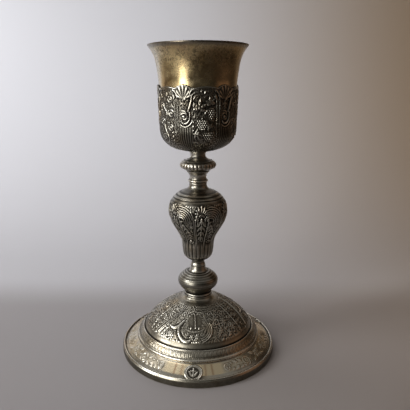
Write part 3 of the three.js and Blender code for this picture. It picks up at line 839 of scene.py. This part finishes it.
# Main knop: the two panels by turns, forked double ribs between them, petals round the lower bell
# and three grooves in the shoulder
def mainRelief(azimuth, profile, low):
    v = profile["z"][:, None] - low + 0 * azimuth
    r = profile["r"][:, None]
    sweptTurn, palmetteTurn, ribTurn, farTurn = (
        turnFrom(azimuth, centre, sixth) for centre in
        (mainLook["swept"], mainLook["palmette"], mainLook["rib"], mainLook["rib"] + mainLook["farRib"]))
    swept, palmette, rib, far = (np.radians(turn) * r for turn in (sweptTurn, palmetteTurn, ribTurn, farTurn))
    h = sweptPanel(swept, v) * (np.abs(sweptTurn) < mainLook["sweptHalf"])
    h = np.maximum(h, palmettePanel(palmette, v) * (np.abs(palmetteTurn) < mainLook["palmetteHalf"]))
    fork = 0.62 + 2.6 * rise(v, 44, 58) ** 1.3
    ribStart = rise(v, *mainLook["ribStart"])
    for side in (-1, 1):
        h = np.maximum(h, 0.8 * rounded(rib - side * fork, 0.4) * ribStart * fall(v, *mainLook["ribEnd"]))
    h = np.maximum(h, 0.75 * rounded(far, 0.42) * ribStart * fall(v, *mainLook["farRibEnd"]))
    petalTurn = turnFrom(azimuth, mainLook["rib"] + mainLook["petalShift"], mainLook["petalPitch"])
    petals = np.abs(np.cos(np.radians(petalTurn) * 12)) ** 0.45
    bell = rise(v, 7, 10) * fall(v, 19.5, 25.5 + 1.2 * petals)
    h = np.maximum(h, 0.85 * bell * (0.05 + 0.95 * petals))
    top = mainLook["top"]
    nearest = np.where(np.abs(sweptTurn) < np.abs(palmetteTurn), swept, palmette)
    inPanels = window(v, *mainLook["panelStart"], top - 1.4, top)
    h = filledGround(h, foliage(nearest, v, 2.3, 0.4) * inPanels, mainLook["fill"])
    h *= fall(v, top - 0.6, top + 0.6)
    for at in mainLook["grooves"]:
        h = h - 0.28 * hump(v, at, 0.42)
    return mainLook["relief"] * h


mainPiece = stemPiece("mainKnop", "main_knop", mainKnop, 190, 480, mainRelief)
finish(mainPiece, mainSilver, "main_knop")
print("stem done")


# Foot

foot = {
    "radius": 71.6, "edge": 5.6, "step": 55.8, "stepLow": 14.5,
    "dome": 50.4, "domeLow": 23.0, "collar": 12.9, "top": boxOf("foot")[1][2],
    "medallion": -3.5, "cartouche": -4.0, "panelTurn": 45,  # azimuths, the last from the cartouche
    "ornament": 62.4, "domeMiddle": 34,  # radii of the middle of rim ornament and of dome panels
    "slope": (57.2, 58.2, 66.0, 66.6), "domeField": (17.5, 20, 47.6, 48.4),  # radii where ornament fades
    "matLevels": (15.6, 16.4, 21.4, 22.2), "matRadius": 54, "matPitch": 1.25,
    "garlandRadius": 62.0, "garlandEnd": (39.4, 40.6), "plate": (7.9, 8.3),
    "garlandRelief": 0.42, "domeRelief": 0.52, "fill": 0.6,
    "rimColumns": 960, "rimRows": 92, "domeColumns": 840, "domeRows": 112,
}
rimSlope = (foot["stepLow"] - foot["edge"] - 2.6) / (foot["radius"] - 5.1 - foot["step"])


# Height of the rim's slope at a radius: a straight fall outwards from the step
def rimHeight(r):
    return foot["stepLow"] - (r - foot["step"]) * rimSlope


rimPoints = [
    (68.6, 0), (71.5, 0), (71.6, 0.4), (71.7, 5.4), (71.5, 6.1), (71.1, 6.3), (70.9, 6.6), (70.8, 7.2),
    (70.4, 7.6), (69.9, 7.6), (69.5, 7.2), (69.3, 6.5), (69.0, 6.3), (68.6, 6.6), (68.2, 7.0),
    (66.4, rimHeight(66.4)), (62, rimHeight(62)), (58.4, rimHeight(58.4)), (57.2, rimHeight(57.2) - 0.1),
    (56.9, 14.2), (57.2, 14.8), (57.3, 15.5), (57.0, 16.2), (56.4, 16.7), (55.9, 16.9), (55.6, 17.3),
    (54.9, 18.8), (53.6, 20.5), (52.4, 21.7), (52.1, 22.0), (51.9, 22.7), (51.5, 23.0), (51.1, 22.8),
    (50.9, 22.2), (50.6, 21.9)]
rimProfile = turnedProfile(rimPoints, foot["rimRows"], 1)
rimAzimuth = azimuthsOf(foot["rimColumns"])
r = rimProfile["r"][:, None]
z = rimProfile["z"][:, None]
onSlope = window(r, *foot["slope"]) * rise(z, 6, 7)
turn = turnFrom(rimAzimuth, foot["medallion"], third)
across = np.radians(turn) * r
outward = r - foot["ornament"] + 0 * rimAzimuth
# medallion: two rings round a small cross with wheat beside it
lower = (outward - 1.6) * 1.36
away = np.hypot(across * 1.05, lower)
plate = 0.25 * fall(away, *foot["plate"])
figure = np.maximum.reduce([
    0.85 * rounded(away - 7.6, 0.55), 0.7 * rounded(away - 6.2, 0.4),
    chase(across, lower, [(0.75, strap, [(0, 4.0), (0, -4.2)], 0.6, 0.6),
                          (0.75, strap, [(-2.2, -1.4), (2.2, -1.4)], 0.6, 0.6),
                          (0.7, leaf, -0.6, 4.2, -7.0, 1.3, 30, 4),
                          (0.7, leaf, 0.6, 4.2, -7.0, 1.3, -30, 4)])])
medallion = plate + 0.45 * figure * (away < foot["plate"][1])
# garland between the medallions: roundels of rolled leaf with leaves beside them, mirrored about
# its middle. g runs along it in millimetres.
middle = turnFrom(rimAzimuth, foot["medallion"] + third / 2, third)
g = np.abs(np.radians(middle)) * foot["garlandRadius"] + 0 * r
inGarland = fall(g, *foot["garlandEnd"])
garlandRows = [(1, rosette, 0, 0.2, 3.4, 6)]
for x, y, size, turnBy in ((15.6, 0.2, 4.3, 30), (35.4, 0.2, 3.2, 200)):
    garlandRows += [(0.8, strap, spiral(x, y, size, 0.3 * size, turnBy, turnBy + 620, 36), 0.6, 0.45),
                    (0.9, dome, x, y, 0.9)]
garlandRows += [(0.85, leaf, *measures, 3) for measures in (
    (3.0, 2.2, 5.6, 1.4, 66), (3.0, -1.6, 5.6, 1.4, 114), (9.0, 0.4, 4.0, 1.2, 90),
    (19.6, 2.2, 4.8, 1.3, 72), (19.8, -1.6, 4.8, 1.4, 112), (24.4, 1.4, 5.4, 1.9, 62),
    (24.6, -1.8, 5.2, 1.8, 112), (29.2, 1.6, 3.6, 1.1, 60), (29.6, -2.0, 3.4, 1.0, 108))]
garland = chase(g, outward, garlandRows)
rimRelief = np.maximum(foot["garlandRelief"] * garland * inGarland * onSlope,
                       medallion * rise(r, 54.5, 55.6) * (z > 6.5))
matBand = window(z, *foot["matLevels"]) * (r < 56.4)
matGround = punched(np.radians(rimAzimuth) * foot["matRadius"], r * 1.4 + z, foot["matPitch"])
rimRelief = rimRelief + 0.1 * matBand * matGround
# marks: darker garland, medallion and mat band, brighter edges, and gilding on the plain metal beside the
# medallion;
# painted light: warm painted reflections beside the medallion, a painted dark reflection on the upright edge,
# a painted highlight on the step's lower bead and painted shade in the groove by the dome
plain = onSlope * (1 - inGarland) * rise(away, 8.0, 8.8)
# Painted warm reflections: two upright copper-coloured streaks on each side of the medallion
paintedWarmGlints = plain * (0.7 * hump(np.abs(turn), 14.6, 0.8) + 0.55 * hump(np.abs(turn), 9.2, 1.0))
giltShare = onSlope * rise(away, 8.0, 9.0) * (0.3 * (1 - garland) + 0.6 * rise(g, 38, 42))
# Upright edge of the foot, darkened below as a painted dark reflection
upright = rise(r, 71.2, 71.6) * fall(z, 5.6, 6.2)
rimMark = standingProud(rimRelief, 3, 6, 0.5)
darkened = inGarland * onSlope * (0.3 * garland - 0.08 + 0.3 * np.clip(rimMark - 0.5, 0, 0.5))
rimMark = rimMark - darkened - 0.2 * (away < 8.2) + 0.06 * (plain > 0.5)
# Painted highlight on the step's lower bead, which also makes it smoother
rimMark = rimMark + 0.22 * hump(z, 15.4, 1.1) * (r > 56.2)
edgeShade = 0.10 * np.clip(-turningOf(rimProfile)[:, None], -1.5, 1.5)
# Painted shade in the groove against the dome, at r 50.7 to 51.1; also darker in the groove inside the edge
# bead
rimMark = np.clip(rimMark + 0.12 - edgeShade - 0.08 * matBand - 0.27 * upright
                  - 0.35 * fall(r, 50.7, 51.1) * (z > 20) - 0.3 * hump(r, 69.1, 0.35) * (z > 6), 0, 1)
rimOuter = ringsOf(rimProfile, rimAzimuth, rimRelief)
rimInner = hoops(rimAzimuth, [(50.4, 22.0), (50.6, 21.6), (54.6, 17.6), (55.0, 13.9), (66.0, 6.9),
                              (70.4, 5.4), (70.6, 1.0), (68.6, 1.0)])
rimPiece = turnedBody("footRim", np.concatenate([rimOuter, rimInner]), True, {
    "proud": withInside(rimMark, rimInner, 0.35), "gilt": giltShare, "copper": paintedWarmGlints})
finish(rimPiece, footSilver, "foot")

# dome, from its lower edge up to the collar
crownRadius = foot["collar"] + 2.7
crownRise = foot["top"] - foot["domeLow"] - 3.6
domeOutline = [(50.5, 21.9), (50.4, 22.4), (50.2, 23.2), (49.9, 23.9)] + [
    (crownRadius + (foot["dome"] - 1 - crownRadius) * t,
     foot["domeLow"] + 1.2 + crownRise * (1 - t ** 1.2) ** 0.75) for t in np.linspace(1, 0, 60)[1:]] + [
    (14.2, 50.3), (13.3, 51.0), (foot["collar"], foot["top"])]
domeProfile = turnedProfile(domeOutline, foot["domeRows"], 1)
domeAzimuth = azimuthsOf(foot["domeColumns"])
r = domeProfile["r"][:, None]
y = r - foot["domeMiddle"] + 0 * domeAzimuth  # outward from the cartouche's middle
turn = turnFrom(domeAzimuth, foot["cartouche"], third)
x = np.radians(turn) * r


# Middle of each third: cartouche of a thick C-scroll and lighter ones round a plain field with an
# upright stroke, its ends in spirals, flowers and beads at its foot. y grows outward, down the dome.
def cartouchePanel(x, y):
    bold = np.concatenate([sweep((-9.8, -0.6), (-15.6, 2.4), (-16.8, 9.4), (-11.0, 12.2), 12),
                           sweep((-11.0, 12.2), (-8.4, 13.4), (-5.6, 13.4), (-3.6, 12.6), 6)])
    rows = [(1, strap, bold, 0.55, 0.8, 0.9),
            (0.9, strap, sweep((-24.4, 5.0), (-19.6, 8.0), (-13.4, 4.4), (-9.8, -0.9)), 0.4, 0.45, 1.4),
            (0.6, strap, sweep((-9.4, 2.2), (-12.4, 6.2), (-11.0, 9.8), (-7.2, 10.6)), 0.34, 0.3),
            (0.85, strap, spiral(19.3, 1.7, 3.2, 0.5, 160, 640, 30), 0.45, 0.36),
            (0.7, strap, spiral(12.0, -6.6, 2.4, 0.5, 20, -380, 26), 0.4, 0.34),
            (0.7, strap, spiral(-9.4, -6.4, 2.0, 0.5, 100, 460, 24), 0.38, 0.32),
            (0.9, strap, [(-0.8, -6.6), (0.5, 4.0)], 0.42, 0.5),
            (0.75, strap, sweep((-0.8, -6.6), (-1.6, -7.4), (-3.0, -7.4), (-3.9, -6.2)), 0.36, 0.3),
            (0.6, strap, sweep((-6.2, 6.0), (-2.2, 7.6), (3.2, 7.6), (8.4, 4.8)), 0.34, 0.34),
            (1, rosette, -2.3, 10.6, 2.1, 6, 0.26), (1, rosette, 2.3, 10.0, 2.1, 6, 0.26),
            (1, rosette, -22.3, 11.0, 3.6, 9, 0.26), (1, rosette, 22.6, 9.4, 2.6, 7, 0.26),
            (1, bunch, 1.0, 13.2, 3.2, 1.6, 0.7)]
    for shift in (0, 1.7, 3.4):
        arc = sweep((12.6 - shift, 0.8), (17.4 - shift, 6.2), (15.8 - shift, 11.4 - 0.4 * shift),
                    (8.0 - shift / 2, 13.2 - 0.6 * shift))
        rows.append((0.85 - 0.1 * shift, strap, arc, 0.42, 0.4, 0.2))
    for side in (-1, 1):
        inward = sweep((side * 7.8, -2.4), (side * 7.6, -8.0), (side * 5, -11.4), (side * 2.4, -11.8))
        curl = spiral(side * 6.4, 8.4, 1.4, 0.5, 90 - side * 90, 90 + side * 200, 16)
        rows += [(1.1, dome, side * 3.6 + 0.2, 4.4, 0.85), (0.5, strap, inward, 0.36, 0.3),
                 (0.6, leaf, side * 3.0, -8.8, 5.0, 1.1, side * 64, 3), (0.6, strap, curl, 0.32, 0.3)]
    return chase(x, y, rows)


# Loose scrollwork: rosettes, spirals of one and a sixth turns and lobed leaves at the places given
def scrollwork(x, y, blooms, curls, leaves):
    rows = [(0.9, rosette, *bloom) for bloom in blooms]
    rows += [(0.8, strap, spiral(atX, atY, size, 0.4, turnBy, turnBy + 420, 22), 0.38, 0.32)
             for atX, atY, size, turnBy in curls]
    rows += [(0.75, leaf, atX, atY, lengthOf, 1.0, lean, 3) for atX, atY, lengthOf, lean in leaves]
    return chase(x, y, rows)


# Left of a cartouche: slanting double strap with a leaf across it, among scrollwork
def strapPanel(x, y):
    blooms = ((-6.5, 9.2, 2.4, 5), (1.5, -8.0, 1.9, 6), (-8.4, -1.6, 1.9, 6), (5.4, 9.4, 1.8, 7),
              (12.6, 0.8, 1.8, 6))
    curls = ((0.3, -3.5, 2.3, 90), (5.2, 6.2, 2.2, 0), (-4.4, 2.2, 2.0, 200), (11.6, -6.0, 2.0, 40),
             (-11.6, 5.4, 2.2, 120))
    leaves = ((-2.6, 12.6, 4.6, -60), (-9.6, 12.0, 4.2, 10), (-3.0, -9.8, 4.6, -20), (8.6, 10.6, 4.2, 30),
              (-12.0, 0.4, 4.4, 190), (3.4, -1.4, 4.0, 160))
    rows = [(0.7, leaf, -3.0, 6.4, 6.0, 1.2, -84, 2, 0.1)]
    for shift in (0, 1.6):
        line = sweep((5.0 + shift, -14.8), (8.0 + shift, -4.8), (4.2 + shift, 2.6), (-1.0 + shift, 12.4))
        rows.append((0.85, strap, line, 0.4, 0.4))
    return np.maximum(scrollwork(x, y, blooms, curls, leaves), chase(x, y, rows))


# Right of a cartouche: larger flowers among scrollwork
def flowerPanel(x, y):
    blooms = ((-8.6, -1.4, 2.6, 6), (-3.2, -8.0, 2.4, 5), (-1.6, 2.0, 3.3, 7), (-8.6, 7.8, 2.6, 6),
              (5.4, -3.4, 2.4, 6), (5.4, 7.6, 3.1, 7), (-1.4, 10.6, 2.4, 5), (2.6, -12.0, 1.8, 6))
    curls = ((-5.4, -4.4, 2.3, 40), (1.0, -4.6, 2.4, 200), (-5.6, 4.4, 2.4, 120), (2.0, 6.0, 2.1, 300),
             (10.0, 2.0, 2.6, 90), (-12.6, 3.2, 2.2, 30))
    leaves = ((-4.4, 12.4, 4.4, 100), (8.6, 11.4, 4.2, 30), (-12.0, -3.4, 4.4, 20), (3.6, 1.4, 4.2, 140),
              (-9.4, 12.8, 4.0, -70), (8.8, 6.2, 4.0, 160))
    return scrollwork(x, y, blooms, curls, leaves)


# Column where two thirds meet: a rosette over husks that hang one from the next, a curl on each side
def huskColumn(x, y):
    rows = [(1, rosette, 0, 11.6, 2.3, 7)]
    for low in (9.2, 3.4, -2.4, -8.2):
        rows.append((0.85, leaf, 0, low, -6.4, 1.5, 0, 3))
        for side in (-1, 1):
            curl = spiral(side * 3.4, low - 2.4, 1.5, 0.4, 90 + side * 40, 90 + side * 420, 18)
            rows.append((0.7, strap, curl, 0.36, 0.3))
    return chase(x, y, rows)


leftX, rightX, meetingX = (np.radians(turnFrom(domeAzimuth, foot["cartouche"] + beside, third)) * r
                           for beside in (-foot["panelTurn"], foot["panelTurn"], third / 2))
inDome = window(r, *foot["domeField"])
# each panel fades into the next over two or three degrees
domeFigures = cartouchePanel(x, y)
for panel, panelX, side in ((strapPanel, leftX, -1), (flowerPanel, rightX, 1)):
    shown = panel(panelX, y) * rise(side * turn, 20, 23) * fall(side * turn, 53, 56)
    domeFigures = np.maximum(domeFigures, shown)
domeFigures = np.maximum(domeFigures, huskColumn(meetingX, y) * rise(np.abs(turn), 48, 52))
field = fall(np.hypot(x / 7.4, (y + 0.4) / 7.0), 0.7, 1.05) * (np.abs(turn) < 25)
domeFiller = np.maximum.reduce([
    foliage(x, y, 2.6, 0.2) * fall(np.abs(turn), 22, 24),
    foliage(leftX, y, 2.6, 0.9) * window(-turn, 21, 23, 51, 54),
    foliage(rightX, y, 2.6, 0.5) * window(turn, 21, 23, 51, 54),
    foliage(meetingX, y, 2.2, 0.1) * rise(np.abs(turn), 51, 54)])
domeFigures = filledGround(domeFigures, domeFiller * (1 - field), foot["fill"])
domeHeight = foot["domeRelief"] * domeFigures * inDome + 0.04 * inDome * punched(x, y, 0.9)
domeMark = standingProud(domeHeight, 3, 5, 0.5)
# Painted shade along the dome's lower edge, beside the groove against the rim
domeMark = np.clip(domeMark + 0.05 - 0.08 * inDome - 0.35 * rise(r, 49.8, 50.3) * (y > 0), 0, 1)
domeOuter = ringsOf(domeProfile, domeAzimuth, domeHeight)
domeUnder = [(11.9, foot["top"])] + [(a - 1.3, b - 1.3) for a, b in domeOutline[::-10][1:-1]] + [(49.6, 22.6)]
domeInner = hoops(domeAzimuth, domeUnder)
domePiece = turnedBody("footDome", np.concatenate([domeOuter, domeInner]), True,
                       {"proud": withInside(domeMark, domeInner, 0.35)})
finish(domePiece, domeSilver, "foot")


# Floor, light, camera: lengths in metres

floorLook = {"width": 3.0, "front": -1.6, "bend": 0.24, "curve": 0.5, "height": 2.0,
             "colour": (0.335, 0.315, 0.32), "rough": 0.6}
# (direction, distance where the painted shade starts, where it is full, colour), one over the other
floorShades = [((0, 1, 0), 0.07, 0.16, (0.52, 0.512, 0.535)),  # pale wall behind
               ((1, 0, 0), -0.12, 0.62, (0.31, 0.22, 0.14)),  # warm painted shade on the right
               ((1, 0, 0), 0.5, 1.1, (0.05, 0.04, 0.033)),  # painted dark shade beyond it
               ((-1, 0, 0), 0.6, 1.0, (0.27, 0.225, 0.17)),  # brown on the left
               ((1, -1, 0), 0.22, 0.46, (0.085, 0.058, 0.036))]  # painted dark shade in front
# Floor that curves up into a backdrop: a quarter circle between two flats
turnShare = np.radians(np.linspace(0, 90, 24))
curveY = floorLook["bend"] + floorLook["curve"] * np.sin(turnShare)
profileY = np.r_[floorLook["front"], curveY, floorLook["bend"] + floorLook["curve"]]
profileZ = np.r_[0, floorLook["curve"] * (1 - np.cos(turnShare)), floorLook["height"]]
floorPoints = np.concatenate([np.stack([np.full(profileY.shape, s * floorLook["width"]), profileY, profileZ],
                                       axis=-1) for s in (-1, 1)])
count = len(profileY)
k = np.arange(count - 1)
floorFaces = np.stack([k, k + count, k + count + 1, k + 1], axis=-1)
floorMesh = bpy.data.meshes.new("studioFloor")
floorMesh.from_pydata(floorPoints.tolist(), [], floorFaces.tolist())
floorMesh.polygons.foreach_set("use_smooth", np.ones(len(floorFaces), bool))
floor = bpy.data.objects.new("studioFloor", floorMesh)
scene.collection.objects.link(floor)
floorMaterial, tree, shader = newMaterial("paleFloor")
onFloor = objectCoordinates(tree)
tone = floorLook["colour"]
for towards, shadeFrom, shadeTo, colour in floorShades:
    reach = tree.nodes.new("ShaderNodeVectorMath")
    reach.operation = "DOT_PRODUCT"
    tree.links.new(onFloor, reach.inputs[0])
    reach.inputs[1].default_value = towards
    fade = tree.nodes.new("ShaderNodeMapRange")
    fade.interpolation_type = "SMOOTHSTEP"
    fade.inputs["From Min"].default_value = shadeFrom
    fade.inputs["From Max"].default_value = shadeTo
    tree.links.new(reach.outputs["Value"], fade.inputs["Value"])
    tone = blendColours(tree, fade.outputs["Result"], tone, colour)
tree.links.new(tone, shader.inputs["Base Color"])
shader.inputs["Roughness"].default_value = floorLook["rough"]
floorMesh.materials.append(floorMaterial)


# Soft box: a rectangular light of the given size, placed by azimuth, elevation and distance, that
# faces the aim
def softBox(name, azimuth, elevation, distance, size, power, colour, spread, aim):
    light = bpy.data.lights.new(name, "AREA")
    light.shape = "RECTANGLE"
    light.size, light.size_y = size
    light.energy = power
    light.color = colour
    light.spread = radians(spread)
    lamp = bpy.data.objects.new(name, light)
    a, e = radians(azimuth), radians(elevation)
    place = Vector((distance * sin(a) * cos(e), -distance * cos(a) * cos(e), distance * sin(e)))
    lamp.location = place
    lamp.rotation_euler = (Vector(aim) - place).to_track_quat("-Z", "Y").to_euler()
    scene.collection.objects.link(lamp)


softBox("windowLight", -42, 22, 1.3, (0.5, 1.1), 3.2, (1.0, 0.98, 0.93), 110, (0, 0, 0.42))
softBox("topLight", -140, 62, 2.0, (1.2, 1.2), 2.5, (0.98, 0.98, 1.0), 90, (0, 0.35, 0))
softBox("wallWash", -78, 28, 2.0, (0.9, 0.9), 13.6, (0.93, 0.96, 1.0), 90, (-0.75, 0.74, 0.34))

# Room seen in the metal, by azimuth from the front: bright behind, brown on the left, a window
# between the left and the front, dark in front and on the right with one warm strip
room = [(-180, (0.50, 0.52, 0.58)), (-118, (0.60, 0.62, 0.68)), (-106, (0.34, 0.31, 0.26)),
        (-92, (0.22, 0.17, 0.11)), (-76, (0.19, 0.145, 0.095)), (-64, (0.6, 0.56, 0.47)),
        (-34, (0.62, 0.6, 0.54)), (-18, (0.06, 0.058, 0.05)), (54, (0.03, 0.027, 0.024)),
        (64, (0.25, 0.145, 0.09)), (98, (0.20, 0.12, 0.075)), (112, (0.04, 0.037, 0.037)),
        (180, (0.2, 0.2, 0.21))]
ceiling = {"stops": [(0.45, 0.0), (0.85, 1.0)], "colour": (0.27, 0.262, 0.25)}
world = bpy.data.worlds.new("softRoom")
scene.world = world
world.use_nodes = True
tree = world.node_tree
tree.nodes.clear()
direction = tree.nodes.new("ShaderNodeTexCoord")
axes = tree.nodes.new("ShaderNodeSeparateXYZ")
tree.links.new(direction.outputs["Generated"], axes.inputs[0])
turned = maths(tree, "ARCTAN2", axes.outputs["X"], maths(tree, "MULTIPLY", axes.outputs["Y"], -1.0))
share = maths(tree, "ADD", maths(tree, "DIVIDE", turned, 2 * pi), 0.5)
around = ramp(tree, share, [(azimuth / 360 + 0.5, colour) for azimuth, colour in room])
above = ramp(tree, axes.outputs["Z"], ceiling["stops"])
background = tree.nodes.new("ShaderNodeBackground")
tree.links.new(blendColours(tree, above, around, ceiling["colour"]), background.inputs["Color"])
background.inputs["Strength"].default_value = 1.0
output = tree.nodes.new("ShaderNodeOutputWorld")
tree.links.new(background.outputs[0], output.inputs["Surface"])

cameraLook = {"place": (0.0, -0.4046, 0.2404), "pitch": 14.19, "focalPixels": 463.2, "imagePixels": 410,
              "axisPixel": 198.0, "sensor": 36}
lens = bpy.data.cameras.new("photoCamera")
lens.sensor_width = cameraLook["sensor"]
lens.lens = cameraLook["focalPixels"] / cameraLook["imagePixels"] * cameraLook["sensor"]
lens.shift_x = (cameraLook["imagePixels"] / 2 - cameraLook["axisPixel"]) / cameraLook["imagePixels"]
lens.clip_start = 0.01
camera = bpy.data.objects.new("photoCamera", lens)
camera.location = cameraLook["place"]
camera.rotation_euler = (radians(90 - cameraLook["pitch"]), 0, 0)
scene.collection.objects.link(camera)
scene.camera = camera
scene.view_settings.view_transform = "Standard"
